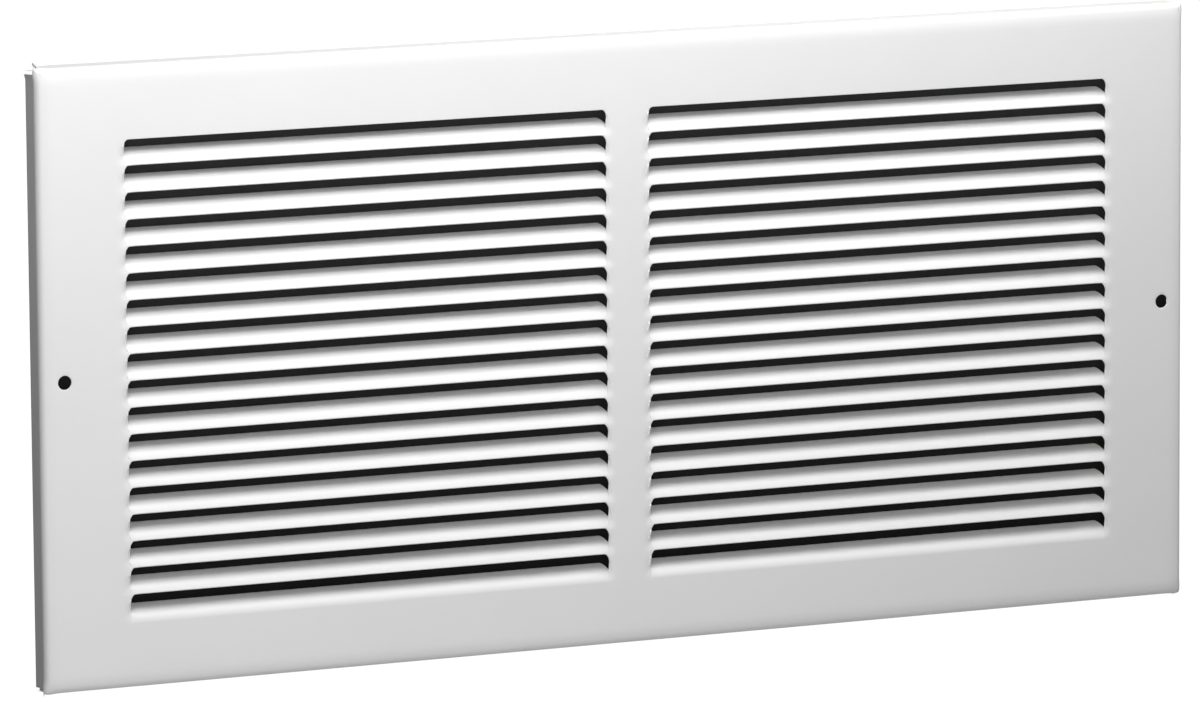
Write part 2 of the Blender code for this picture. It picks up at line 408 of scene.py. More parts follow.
    def height_stations(self) -> list[float]:
        """Places of the grid lines from the bottom bend to the top bend."""
        stations = [self.flat_z - step * MM for step in self.crown_steps]
        for index in range(self.strips):
            top = self.cut_height(index)
            length = self.strip_length(index)
            rest = length - self.louvre.end_cut
            stations.append(top)
            stations += [top - step * MM for step in self.strip_rows]
            rows = range(self.lower_rows)
            stations += [top - self.louvre.end_cut - rest * row / self.lower_rows for row in rows]
        stations.append(self.cut_height(self.strips) - self.louvre.lip_drop)
        stations += [self.first_cut + step * MM for step in self.border_steps]
        stations += [-self.flat_z + step * MM for step in self.crown_steps]
        stations += [side * place for side in (-1, 1) for place in self.folded_stations(self.flat_z)]
        return sorted(stations)

    def blank(self) -> bmesh.types.BMesh:
        """Lays out the right half of the flat face as a grid."""
        across = self.across_stations()
        heights = self.height_stations()
        bm = bmesh.new()
        bmesh.ops.create_grid(
            bm, x_segments=len(across) - 1, y_segments=len(heights) - 1, size=1.0
        )
        for vert in bm.verts:
            column = round((vert.co.x + 1.0) / 2.0 * (len(across) - 1))
            row = round((vert.co.y + 1.0) / 2.0 * (len(heights) - 1))
            vert.co = (across[column], -self.depth, heights[row])
        notches = []
        for face in bm.faces:
            middle = face.calc_center_median()
            past_x, past_z = middle.x - self.flat_x, abs(middle.z) - self.flat_z
            if min(past_x, past_z) > 0 and max(past_x, past_z) > self.bend_length():
                notches.append(face)
        bmesh.ops.delete(bm, geom=notches, context="FACES")
        return bm

    def strip_at(self, z: float) -> int:
        """Number of the strip at a height; a point on a cut belongs to the strip above it."""
        below = (self.first_cut - z - NEAR) / self.louvre.pitch
        return min(int(below), self.strips - 1)

    def in_field(self, x: float, z: float) -> bool:
        """Whether a place of the face lies in the louvre column."""
        bottom = self.cut_height(self.strips) - self.louvre.lip_drop
        return self.column_inner < x < self.column_outer and bottom < z < self.first_cut

    def inward(self, x: float) -> tuple[float, float]:
        """Distance from the column's nearer end, and the direction to the column's middle."""
        if x < (self.column_inner + self.column_outer) / 2:
            return x - self.column_inner, 1.0
        return self.column_outer - x, -1.0

    def lance(self, bm: bmesh.types.BMesh) -> None:
        """Opens the cut along the top of each strip, and the one down each of its ends."""
        cuts = []
        for edge in bm.edges:
            middle = (edge.verts[0].co + edge.verts[1].co) / 2
            below = (self.first_cut - middle.z) / self.louvre.pitch
            level = abs(edge.verts[0].co.z - edge.verts[1].co.z) < NEAR
            if level:
                on_cut = abs(below - round(below)) * self.louvre.pitch < NEAR
                in_column = self.column_inner < middle.x < self.column_outer
                if on_cut and in_column and 0 <= round(below) < self.strips:
                    cuts.append(edge)
            elif abs(self.inward(middle.x)[0]) < NEAR and 0.0 < below < self.strips:
                if (below % 1.0) * self.louvre.pitch < self.louvre.end_cut:
                    cuts.append(edge)
        bmesh.ops.split_edges(bm, edges=cuts)

    def form(self, bm: bmesh.types.BMesh) -> None:
        """Presses the strips back, and draws the face beside their ends along with them."""
        strips = {}
        for face in bm.faces:
            middle = face.calc_center_median()
            if self.in_field(middle.x, middle.z):
                for vert in face.verts:
                    strips[vert] = self.strip_at(middle.z)
        for vert in bm.verts:
            if vert in strips:
                self.press(vert, strips[vert])
            else:
                self.draw_in(vert)

    def press(self, vert: bmesh.types.BMVert, index: int) -> None:
        """Moves one point of a strip to its formed place.

        Args:
            vert: The point, still in the flat sheet.
            index: The strip's number.
        """
        louvre = self.louvre
        length = self.strip_length(index)
        down = max(0.0, self.cut_height(index) - vert.co.z)
        t = length - down
        inward, direction = self.inward(vert.co.x)
        near_end = max(0.0, 1.0 - inward / louvre.ramp_in)
        if down < louvre.end_cut:
            shift = louvre.tab_edge(down) - louvre.end_slant * down / louvre.end_cut
        else:
            shift = -louvre.end_slant * t / (length - louvre.end_cut)
        freed = max(0.0, louvre.end_cut - down)
        reach = louvre.nose_reach(t, length)
        share = louvre.ramp(inward + louvre.tab_release * freed + reach)
        depth, rise = (louvre.lip if index == self.strips - 1 else louvre.fin)(t, length)
        formed = self.cut_height(index) - length + rise
        if t < NEAR and inward < louvre.corner:
            shift, drop = louvre.slot_corner(inward, 0.0)
            near_end = 1.0
            vert.co.z -= drop
        vert.co.x += direction * shift * near_end
        vert.co.y += depth * share
        vert.co.z += (formed - (self.cut_height(index) - down)) * share

    def draw_in(self, vert: bmesh.types.BMVert) -> None:
        """Moves one point of the border or the mullion beside a strip's end."""
        louvre = self.louvre
        inward, direction = self.inward(vert.co.x)
        if abs(vert.co.z - self.first_cut) < NEAR and -NEAR < inward < louvre.corner:
            shift, drop = louvre.slot_corner(inward, 0.0)
            vert.co.x += direction * shift
            vert.co.z -= drop
            return
        index = self.strip_at(vert.co.z)
        down = max(0.0, self.cut_height(index) - vert.co.z)
        if inward < -louvre.ramp_out - louvre.nose or inward > NEAR or index < 0:
            return
        if vert.co.z > self.first_cut + NEAR or down > self.strip_length(index) + NEAR:
            return
        length = self.strip_length(index)
        free = louvre.edge_release * max(0.0, 1.0 - down / louvre.end_cut)
        t = length - max(down, louvre.end_cut)
        depth, rise = (louvre.lip if index == self.strips - 1 else louvre.fin)(t, length)
        share = louvre.ramp(inward + louvre.nose_reach(t, length)) * (1.0 - ease(free))
        vert.co.y += depth * share
        if abs(inward) < NEAR and 0.0 < down < louvre.end_cut:
            if down < louvre.corner:
                shift, drop = louvre.slot_corner(0.0, down)
                vert.co.x += direction * shift
                vert.co.z -= drop
            vert.co.x -= direction * louvre.end_slant * down / louvre.end_cut

    def bend_at(self, along: float, flat: float) -> tuple[float, float, float]:
        """Finds where a place of the flat sheet comes to when its side is folded back.

        Args:
            along: Distance from the sheet's middle, measured in the sheet.
            flat: Where the bend starts.

        Returns:
            The distance outwards, the depth behind the face and the tilt of the sheet there.
        """
        if along <= flat:
            crown = max(0.0, 1.0 - (flat - along) / self.crown_width)
            tilt = self.crown_tilt * crown ** (self.crown_power - 1.0)
            return along, self.crown_drop * crown**self.crown_power, tilt
        turned = self.crown_tilt + (along - flat) / self.bend_radius
        run = max(0.0, turned - pi / 2) * self.bend_radius
        tilt = min(turned, pi / 2)
        out = flat + self.bend_radius * (sin(tilt) - sin(self.crown_tilt))
        back = self.crown_drop + self.bend_radius * (cos(self.crown_tilt) - cos(tilt)) + run
        return out, back, tilt

    def fold(self, bm: bmesh.types.BMesh) -> None:
        """Folds the four sides back, and draws each corner of the face into a dome."""
        for vert in bm.verts:
            side_x = 1 if vert.co.x > 0 else -1
            side_z = 1 if vert.co.z > 0 else -1
            along_x, along_z = abs(vert.co.x), abs(vert.co.z)
            out_x, back_x, tilt_x = self.bend_at(along_x, self.flat_x)
            out_z, back_z, tilt_z = self.bend_at(along_z, self.flat_z)
            steep = max(tilt_x, tilt_z)
            if min(along_x - self.flat_x, along_z - self.flat_z) > NEAR:
                facing = Vector((sin(tilt_x), -cos(tilt_x) * cos(tilt_z), sin(tilt_z)))
                power = self.dome_power
                outward = (facing.x**power + facing.z**power) ** (1.0 / power)
                spot = self.dome_centre() + self.bend_radius * facing / hypot(facing.y, outward)
                out_x, out_z = spot.x, spot.z
                vert.co.y = spot.y + self.crown_drop * cos(steep)
            else:
                vert.co.y += max(back_x, back_z) + min(back_x, back_z) * cos(steep)
            room = self.flat_z - along_z if tilt_x > tilt_z else self.flat_x - along_x
            out_x, out_z = self.draw_corner(
                out_x, out_z, room, (tilt_x, tilt_z), vert.co.y, (side_x, side_z)
            )
            vert.co.x = side_x * out_x
            vert.co.z = side_z * out_z

    def dome_centre(self) -> Vector:
        """Centre of the dome at the upper right corner."""
        set_in = self.bend_radius * sin(self.crown_tilt)
        return Vector((self.flat_x - set_in, self.bend_y, self.flat_z - set_in))

    def draw_corner(
        self,
        out_x: float,
        out_z: float,
        room: float,
        tilts: tuple[float, float],
        y: float,
        sides: tuple[int, int],
    ) -> tuple[float, float]:
        """Swells the bends towards a corner, and slants and flares the ends of the rim there.

        Args:
            out_x: Distance outwards along X.
            out_z: Distance outwards along Z.
            room: Distance along the bend to where the corner's dome starts.
            tilts: Tilts of the side bend and of the top or bottom bend.
            y: Depth coordinate.
            sides: Signs of X and Z.

        Returns:
            The new distances outwards.
        """
        swell = self.ear * (1.0 - ease(room / self.ear_reach))
        share = max(0.0, (y - self.bend_y) / -self.bend_y)
        swell *= 1.0 - share
        out_x += swell * max(0.0, sin(tilts[0]) - sin(self.crown_tilt))
        out_z += swell * max(0.0, sin(tilts[1]) - sin(self.crown_tilt))
        end = max(0.0, 1.0 - room / self.flare_reach)
        shape = next(one for one in self.rim_ends if (one.side.value, one.end) == sides)
        bent = (share * end) ** 2
        cut = share * end
        if tilts[0] > tilts[1]:
            return out_x + shape.upright_flare * bent, out_z - shape.upright_taper * cut
        return out_x - shape.level_taper * cut, out_z + shape.level_flare * bent

    def dent(self, bm: bmesh.types.BMesh) -> None:
        """Presses the shallow handling dents into the face."""
        for vert in bm.verts:
            for x, z, wide, tall, deep in self.dents:
                away = ((vert.co.x - x) / wide) ** 2 + ((vert.co.z - z) / tall) ** 2
                if vert.co.y < -self.depth / 2 and away < self.dent_reach**2:
                    vert.co.y += deep * exp(-away)

    def punch(self, bm: bmesh.types.BMesh) -> None:
        """Punches the screw hole of the right border."""
        reach = self.hole_block
        middle = Vector((self.hole_x, -self.depth, 0.0))
        block = []
        for face in bm.faces:
            offset = face.calc_center_median() - middle
            if max(abs(offset.x), abs(offset.z)) < reach:
                block.append(face)
        bmesh.ops.delete(bm, geom=block, context="FACES")
        around = []
        for edge in bm.edges:
            offset = (edge.verts[0].co + edge.verts[1].co) / 2 - middle
            if edge.is_boundary and max(abs(offset.x), abs(offset.z)) < 2 * reach:
                around.append(edge)
        turn = Matrix.Rotation(pi / 2, 4, "X")
        made = bmesh.ops.create_circle(
            bm, segments=self.hole_sides, radius=self.hole_radius, matrix=turn
        )
        bmesh.ops.translate(bm, vec=middle, verts=made["verts"])
        ring = list({edge for vert in made["verts"] for edge in vert.link_edges})
        bmesh.ops.triangle_fill(bm, use_beauty=True, edges=around + ring)

    def build(self, material: bpy.types.Material) -> bpy.types.Object:
        """Makes the faceplate.

        Args:
            material: Its coat.

        Returns:
            The finished object.
        """
        bm = self.blank()
        self.lance(bm)
        self.form(bm)
        self.punch(bm)
        bmesh.ops.mirror(
            bm,
            geom=bm.verts[:] + bm.edges[:] + bm.faces[:],
            matrix=Matrix.Identity(4),
            merge_dist=NEAR,
            axis="X",
        )
        self.fold(bm)
        self.dent(bm)
        face_along_y(bm, -1)
        plate = add_object("pressed_faceplate", bm, material)
        wall = plate.modifiers.new("sheet", "SOLIDIFY")
        wall.thickness = self.sheet
        wall.offset = -1.0
        edges = plate.modifiers.new("edge_round", "BEVEL")
        edges.width = self.edge_round
        edges.segments = 2
        edges.limit_method = "ANGLE"
        edges.angle_limit = self.edge_angle
        edges.use_clamp_overlap = False
        plate.modifiers.new("weighted_normals", "WEIGHTED_NORMAL")
        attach(plate, "root")
        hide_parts("faceplate")
        LOG.info("faceplate: %d strips a side, %d faces", self.strips, len(plate.data.polygons))
        return plate


@dataclass(frozen=True)
class ScrewPaint:
    """White paint baked on a zinc-plated screw's head; the shank and thread stay plated."""

    name: str = "painted_head_on_zinc_plated_screw"
    paint: str = "#E6E6E3"
    zinc: str = "#A9ADB2"
    dull_zinc: str = "#8D9196"
    roughness: float = 0.34
    blotch: float = 2.5 * MM
    ragged: float = 1.2 * MM
    fade: tuple[float, float] = (-0.3 * MM, 0.1 * MM)

    def make(self, head_base: float) -> bpy.types.Material:
        """Builds the node material.

        Args:
            head_base: Height above which the screw is painted.

        Returns:
            The material.
        """
        material, tree = new_material(self.name)
        place = add_node(tree, "ShaderNodeTexCoord", {}, {}).outputs["Object"]
        parts = add_node(tree, "ShaderNodeSeparateXYZ", {}, {"Vector": place})
        ragged = add_node(
            tree, "ShaderNodeTexNoise", {"Scale": 1.0 / self.blotch, "Detail": 4.0}, {"Vector": place}
        )
        edge = add_node(
            tree,
            "ShaderNodeMath",
            {"operation": "MULTIPLY_ADD", 1: self.ragged},
            {0: ragged.outputs["Fac"], 2: parts.outputs["Z"]},
        )
        painted = add_node(
            tree,
            "ShaderNodeMapRange",
            {"From Min": head_base + self.fade[0], "From Max": head_base + self.fade[1]},
            {"Value": edge.outputs["Value"]},
        )
        plate = add_node(
            tree,
            "ShaderNodeMix",
            {"data_type": "RGBA", MIX_A: linear(self.dull_zinc), MIX_B: linear(self.zinc)},
            {"Factor": ragged.outputs["Fac"]},
        )
        colour = add_node(
            tree,
            "ShaderNodeMix",
            {"data_type": "RGBA", MIX_B: linear(self.paint)},
            {"Factor": painted.outputs["Result"], MIX_A: plate.outputs[MIX_OUT]},
        )
        bare = add_node(
            tree,
            "ShaderNodeMath",
            {"operation": "SUBTRACT", 0: 1.0},
            {1: painted.outputs["Result"]},
        )
        shader = add_node(
            tree,
            "ShaderNodeBsdfPrincipled",
            {"Roughness": self.roughness},
            {"Base Color": colour.outputs[MIX_OUT], "Metallic": bare.outputs["Value"]},
        )
        add_node(tree, "ShaderNodeOutputMaterial", {}, {"Surface": shader.outputs["BSDF"]})
        return material


@dataclass(frozen=True)
class MaskingTape:
    """Creped buff masking tape: fine wrinkles run across it, with painted shade in their hollows."""

    name: str = "buff_creped_masking_tape"
    paper: str = "#D9C592"
    # painted shade: this darker colour goes into the hollows of the wrinkles
    shade: str = "#C9B27C"
    roughness: float = 0.62
    specular: float = 0.35
    crepe: float = 0.7 * MM
    crepe_height: float = 0.05 * MM
    stretch: float = 0.12

    def make(self) -> bpy.types.Material:
        """Builds the node material."""
        material, tree = new_material(self.name)
        place = add_node(tree, "ShaderNodeTexCoord", {}, {}).outputs["Object"]
        stretched = add_node(
            tree,
            "ShaderNodeMapping",
            {"Scale": (1.0 / self.crepe, 1.0 / self.crepe, self.stretch / self.crepe)},
            {"Vector": place},
        )
        wrinkles = add_node(
            tree,
            "ShaderNodeTexNoise",
            {"Scale": 1.0, "Detail": 3.0, "Roughness": 0.5},
            {"Vector": stretched.outputs["Vector"]},
        )
        # painted shade: the colour turns darker where the wrinkles' bump is low
        colour = add_node(
            tree,
            "ShaderNodeMix",
            {"data_type": "RGBA", MIX_A: linear(self.shade), MIX_B: linear(self.paper)},
            {"Factor": wrinkles.outputs["Fac"]},
        )
        relief = add_node(
            tree,
            "ShaderNodeBump",
            {"Strength": 1.0, "Distance": self.crepe_height},
            {"Height": wrinkles.outputs["Fac"]},
        )
        shader = add_node(
            tree,
            "ShaderNodeBsdfPrincipled",
            {"Roughness": self.roughness, "Specular IOR Level": self.specular},
            {"Base Color": colour.outputs[MIX_OUT], "Normal": relief.outputs["Normal"]},
        )
        add_node(tree, "ShaderNodeOutputMaterial", {}, {"Surface": shader.outputs["BSDF"]})
        return material


@dataclass
class MountingScrew:
    """One oval-head sheet-metal screw, stowed head up behind a side border.

    The pairs are shares: recess_bottom of the recess's length and width, and taper of the core's
    radius and the point's length. The thread's root, end and ends' heights are shares too.
    """

    side: Side
    head_radius: float = 3.45 * MM
    dome: float = 1.1 * MM
    sink: float = 1.9 * MM
    core_radius: float = 1.45 * MM
    thread_radius: float = 2.0 * MM
    thread_pitch: float = 1.41 * MM
    thread_start: float = 1.0 * MM
    point: float = 5.0 * MM
    steps: int = 24
    recess_width: float = 0.95 * MM
    recess_reach: float = 2.1 * MM
    recess_depth: float = 1.5 * MM
    recess_bottom: tuple[float, float] = (0.45, 0.6)
    recess_clear: float = 0.6 * MM
    dome_steps: int = 6
    rim_thickness: float = 0.15 * MM
    neck: float = 0.25 * MM
    neck_drop: float = 0.3 * MM
    taper: tuple[float, float] = (0.55, 0.35)
    thread_root: float = 0.42
    thread_sunk: float = 0.15 * MM
    crest: float = 0.05 * MM
    thread_end: float = 0.8
    tip_share: float = 0.28
    end_share: float = 0.72
    sharp_angle: float = radians(35)

    def __post_init__(self) -> None:
        """Takes the screw's place from its node in the frame."""
        self.node = f"mounting_screw_{self.side.name.lower()}"
        low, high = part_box(self.node)
        self.length = high.z - low.z
        self.centre = (low + high) / 2
        self.head_base = self.length - self.dome - self.sink
        self.paint_line = self.centre.z + self.length / 2 - self.dome - self.sink

    def body(self) -> bmesh.types.BMesh:
        """Spins the head, the neck and the tapered core about Z, the tip at Z = 0."""
        top = self.length
        rim = top - self.dome
        outline = [(0.0, top)]
        sphere = (self.head_radius**2 + self.dome**2) / (2 * self.dome)
        for step in range(1, self.dome_steps + 1):
            angle = asin(self.head_radius / sphere) * step / self.dome_steps
            outline.append((sphere * sin(angle), top - sphere * (1 - cos(angle))))
        outline += [
            (self.head_radius, rim - self.rim_thickness),
            (self.core_radius + self.neck, self.head_base),
            (self.core_radius, self.head_base - self.neck_drop),
            (self.core_radius, self.point),
            (self.core_radius * self.taper[0], self.point * self.taper[1]),
            (0.0, 0.0),
        ]
        bm = bmesh.new()
        verts = [bm.verts.new((radius, 0.0, z)) for radius, z in outline]
        edges = [bm.edges.new(pair) for pair in zip(verts, verts[1:])]
        bmesh.ops.spin(
            bm,
            geom=verts + edges,
            cent=(0.0, 0.0, 0.0),
            axis=(0.0, 0.0, 1.0),
            angle=2 * pi,
            steps=2 * self.steps,
            use_merge=True,
        )
        bmesh.ops.remove_doubles(bm, verts=bm.verts, dist=NEAR)
        bmesh.ops.recalc_face_normals(bm, faces=bm.faces)
        return bm

    def thread(self, bm: bmesh.types.BMesh) -> None:
        """Winds the thread's ridge round the core, narrowing towards the tip."""
        root = self.thread_root * self.thread_pitch
        inside = self.core_radius - self.thread_sunk
        verts = [
            bm.verts.new((inside, 0.0, -root)),
            bm.verts.new((self.thread_radius, 0.0, -self.crest)),
            bm.verts.new((self.thread_radius, 0.0, self.crest)),
            bm.verts.new((inside, 0.0, root)),
        ]
        edges = [bm.edges.new(pair) for pair in zip(verts, verts[1:] + verts[:1])]
        turns = (self.head_base - self.thread_start) / self.thread_pitch - self.thread_end
        before = set(bm.verts) - set(verts)
        bmesh.ops.spin(
            bm,
            geom=verts + edges,
            cent=(0.0, 0.0, 0.0),
            axis=(0.0, 0.0, 1.0),
            dvec=(0.0, 0.0, self.thread_pitch / self.steps),
            angle=2 * pi * turns,
            steps=round(turns * self.steps),
        )
        ridge = [vert for vert in bm.verts if vert not in before]
        bmesh.ops.translate(bm, vec=(0.0, 0.0, self.thread_start), verts=ridge)
        last = self.head_base - self.thread_end * self.thread_pitch
        for vert in ridge:
            height = max(vert.co.z, 0.0)
            full = min(1.0, self.tip_share + (1.0 - self.tip_share) * height / self.point)
            away = (last - height) / self.thread_pitch
            run_out = min(1.0, max(self.end_share, away + self.end_share))
            vert.co.x *= full * run_out
            vert.co.y *= full * run_out

    def recess_bar(self, turn: float) -> bpy.types.Object:
        """Makes one tapered bar of the cross that a driver's bit fits into.

        Args:
            turn: Angle of the bar about the screw's axis.

        Returns:
            The bar, a cutter to remove after use.
        """
        bm = bmesh.new()
        bmesh.ops.create_cube(bm, size=1.0)
        for vert in bm.verts:
            deep = vert.co.z < 0
            vert.co.x *= 2 * self.recess_reach * (self.recess_bottom[0] if deep else 1.0)
            vert.co.y *= self.recess_width * (self.recess_bottom[1] if deep else 1.0)
            vert.co.z = self.length + (-self.recess_depth if deep else self.recess_clear)
        bmesh.ops.rotate(bm, matrix=Matrix.Rotation(turn, 3, "Z"), verts=bm.verts)
        mesh = bpy.data.meshes.new("recess_bar")
        bm.to_mesh(mesh)
        bm.free()
        bar = bpy.data.objects.new("recess_bar", mesh)
        bpy.context.scene.collection.objects.link(bar)
        return bar

    def build(self, material: bpy.types.Material) -> bpy.types.Object:
        """Makes the screw in its stowed place.

        Args:
            material: Paint over zinc plating.

        Returns:
            The finished object.
        """
        blank = add_object("screw_blank", self.body(), material)
        cutters = [self.recess_bar(turn) for turn in (0.0, pi / 2)]
        for cutter in cutters:
            cut = blank.modifiers.new("recess", "BOOLEAN")
            cut.operation = "DIFFERENCE"
            cut.solver = "EXACT"
            cut.object = cutter
        graph = bpy.context.evaluated_depsgraph_get()
        headed = bpy.data.meshes.new_from_object(blank.evaluated_get(graph))
        for helper in (blank, *cutters):
            bpy.data.objects.remove(helper, do_unlink=True)
        bm = bmesh.new()
        bm.from_mesh(headed)
        bpy.data.meshes.remove(headed)
        self.thread(bm)
        shift = Vector((self.centre.x, self.centre.y, self.centre.z - self.length / 2))
        bmesh.ops.translate(bm, vec=shift, verts=bm.verts)
        screw = add_object(f"oval_head_screw_{self.side.name.lower()}", bm, material)
        screw.data.set_sharp_from_angle(angle=self.sharp_angle)
        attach(screw, "root")
        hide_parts(self.node)
        LOG.info("screw %s: %.1f mm long", self.side.name.lower(), self.length / MM)
        return screw


@dataclass
class ScrewTape:
    """A hand-torn strip of masking tape that holds one stowed screw against the border.

    The tear and ripple rates are turns of the noise per millimetre.
    """

    side: Side
    screw_radius: float = 2.05 * MM
    foot: float = 5.4 * MM
    thickness: float = 0.14 * MM
    ripple: float = 0.12 * MM
    ripple_rate: tuple[float, float] = (0.5, 0.35)
    ripple_bias: float = 0.3
    ripple_fade: float = 4.0
    tear: float = 0.8 * MM
    tear_rate: float = 0.9
    tear_bias: float = 0.4
    sag: float = 0.25 * MM
    flat_steps: int = 6
    slope_steps: int = 4
    wrap_steps: int = 6
    rows: int = 28
    seed: float = 3.7

    def __post_init__(self) -> None:
        """Takes the tape's place from its node in the frame."""
        self.node = f"screw_tape_{self.side.name.lower()}"
        self.low, self.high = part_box(self.node)
        screw_low, screw_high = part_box(f"mounting_screw_{self.side.name.lower()}")
        self.axis = (screw_low + screw_high) / 2

    def path(self) -> list[tuple[float, float]]:
        """Points of the tape's inner side across the border, from its outer end to its inner one."""
        floor = self.low.y
        drop = self.axis.y - floor
        reach = (self.high.x - self.low.x) / 2
        leaves = pi + atan2(drop, self.foot) - acos(self.screw_radius / hypot(self.foot, drop))
        run = reach - self.foot
        points = [(-reach + run * step / self.flat_steps, floor) for step in range(self.flat_steps)]
        points.append((-self.foot, floor))
        start = (self.screw_radius * cos(leaves), drop + floor + self.screw_radius * sin(leaves))
        for step in range(1, self.slope_steps):
            share = step / self.slope_steps
            sag = self.sag * sin(pi * share)
            x = -self.foot + (start[0] + self.foot) * share
            points.append((x, floor + (start[1] - floor) * share - sag))
        for step in range(self.wrap_steps + 1):
            angle = leaves + (pi / 2 - leaves) * step / self.wrap_steps
            y = self.axis.y + self.screw_radius * sin(angle)
            points.append((self.screw_radius * cos(angle), y))
        return points + [(-x, y) for x, y in reversed(points[:-1])]

    def build(self, material: bpy.types.Material) -> bpy.types.Object:
        """Makes the tape.

        Args:
            material: Creped paper.

        Returns:
            The finished object.
        """
        points = self.path()
        bm = bmesh.new()
        bmesh.ops.create_grid(bm, x_segments=len(points) - 1, y_segments=self.rows, size=1.0)
        seed = self.seed * self.side.value
        for vert in bm.verts:
            column = round((vert.co.x + 1.0) / 2.0 * (len(points) - 1))
            along = (vert.co.y + 1.0) / 2.0
            x, y = points[column]
            middle = 1.0 - abs(2.0 * column / (len(points) - 1) - 1.0)
            z = self.low.z + (self.high.z - self.low.z) * along
            ragged = noise.noise(Vector((z / MM * self.tear_rate, seed, 0.0)))
            torn = (ragged - self.tear_bias) * self.tear
            if middle < NEAR:
                x -= torn * (1 if x > 0 else -1)
            across, upward = self.ripple_rate
            bump = noise.noise(Vector((x / MM * across, z / MM * upward, seed)))
            y += self.ripple * (bump + self.ripple_bias) * min(1.0, self.ripple_fade * middle)
            vert.co = (self.axis.x + x, y, z)
        face_along_y(bm, 1)
        tape = add_object(f"masking_tape_{self.side.name.lower()}", bm, material)
        layer = tape.modifiers.new("paper", "SOLIDIFY")
        layer.thickness = self.thickness
        layer.offset = 1.0
        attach(tape, "root")
        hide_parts(self.node)
        LOG.info("tape %s: %d rows", self.side.name.lower(), self.rows)
        return tape


@dataclass(frozen=True)
class SoftBox:
    """A light panel aimed at a point."""

    name: str
    place: tuple[float, float, float]
    aim: tuple[float, float, float]
    wide: float
    tall: float
    watts: float

    def build(self) -> bpy.types.Object:
        """Makes the light."""
        data = bpy.data.lights.new(self.name, "AREA")
        data.shape = "RECTANGLE"
        data.size = self.wide
        data.size_y = self.tall
        data.energy = self.watts
        light = bpy.data.objects.new(self.name, data)
        light.location = self.place
        light.visible_camera = False
        light.rotation_mode = "QUATERNION"
        toward = Vector(self.aim) - Vector(self.place)
        light.rotation_quaternion = toward.to_track_quat("-Z", "Y")
        bpy.context.scene.collection.objects.link(light)
        return light


